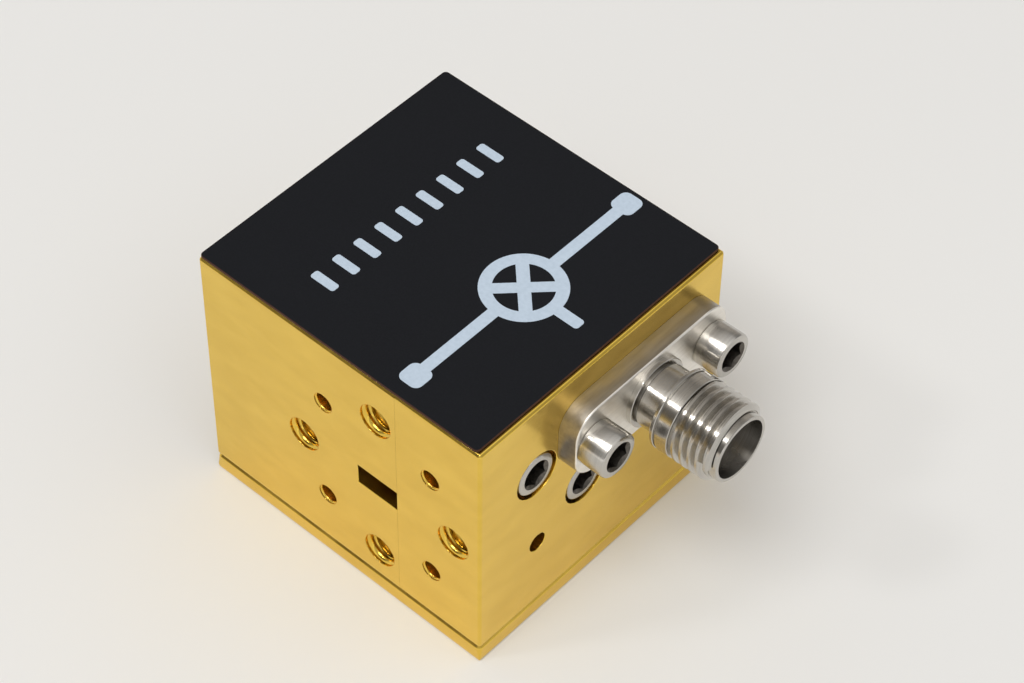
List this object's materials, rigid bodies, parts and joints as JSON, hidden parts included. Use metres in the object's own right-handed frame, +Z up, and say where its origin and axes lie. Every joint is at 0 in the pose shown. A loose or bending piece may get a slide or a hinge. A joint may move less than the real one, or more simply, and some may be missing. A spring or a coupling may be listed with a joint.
{
  "type": "rf frequency mixer",
  "caption": "Gold-plated split-block waveguide mixer: a small cube with waveguide ports on opposite sides, a threaded coaxial flange jack between them and a black label on top.",
  "frame": {"origin": "centre of the block's footprint, on the surface it stands on", "axes": "+X out of the coaxial jack, -Y out of the signal waveguide port, +Z up through the label"},
  "size_m": [0.0359, 0.0252, 0.0231],
  "materials": {
    "gold_plate": "satin gold plate over milled brass",
    "stainless_steel": "bright turned",
    "black_label": "matte, thin film",
    "bead_white": "machined fluoropolymer",
    "contact_gold": "bright gold plate over copper alloy",
    "ceramic": "lapped white ceramic",
    "diode_chip": "polished semiconductor"
  },
  "bodies": {
    "root": {"housing_rear": "gold_plate", "housing_front": "gold_plate", "base_cover": "gold_plate", "label_plate": "black_label", "housing_screw_upper": "stainless_steel", "housing_screw_centre": "stainless_steel", "housing_screw_lower": "stainless_steel", "cover_screw_1": "stainless_steel", "cover_screw_2": "stainless_steel", "cover_screw_3": "stainless_steel", "cover_screw_4": "stainless_steel", "dowel_pin_left": "stainless_steel", "dowel_pin_right": "stainless_steel", "connector_shell": "stainless_steel", "connector_bead": "bead_white", "centre_contact": "contact_gold", "flange_screw_left": "stainless_steel", "flange_screw_right": "stainless_steel", "mixer_substrate": "ceramic", "if_filter_substrate": "ceramic", "mixer_diode_left": "diode_chip", "mixer_diode_right": "diode_chip"}
  },
  "joints": []
}
